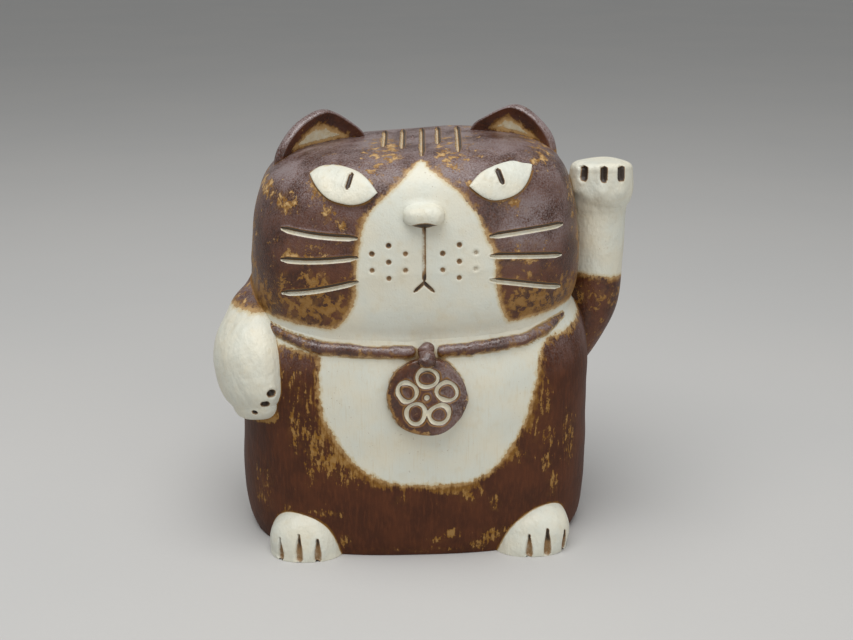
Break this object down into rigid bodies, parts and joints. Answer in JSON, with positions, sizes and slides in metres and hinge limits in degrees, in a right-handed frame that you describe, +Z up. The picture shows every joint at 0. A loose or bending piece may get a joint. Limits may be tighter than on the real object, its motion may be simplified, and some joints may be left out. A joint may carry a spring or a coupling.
{
  "type": "lucky cat figurine",
  "caption": "Hand-built stoneware cat figurine, seated, with a raised paw, a collar with a disc pendant and a flat base; brown slip over cream glaze.",
  "frame": {"origin": "on the surface the figurine stands on, under the middle of its body", "axes": "+Z up, the cat faces -Y, +X towards its raised arm, which is on the right seen from the front"},
  "size_m": [0.1421, 0.1016, 0.1429],
  "materials": {
    "brown_slip": "iron-brown slip, satin, with ochre flecks and edges",
    "cream_glaze": "cream glaze, satin, with ochre edges",
    "bare_clay": "unglazed stoneware, matt"
  },
  "bodies": {
    "root": {"body_shell": "brown_slip", "base_slab": "bare_clay", "head_shell": "brown_slip", "nose": "cream_glaze", "ear_left": "brown_slip", "ear_right": "brown_slip", "eye_left": "cream_glaze", "eye_right": "cream_glaze", "foot_left": "cream_glaze", "foot_right": "cream_glaze", "collar_left": "brown_slip", "collar_right": "brown_slip", "collar_bail": "brown_slip", "medallion": "brown_slip", "raised_arm": "cream_glaze", "lowered_arm": "cream_glaze", "tail": "brown_slip"}
  },
  "joints": []
}
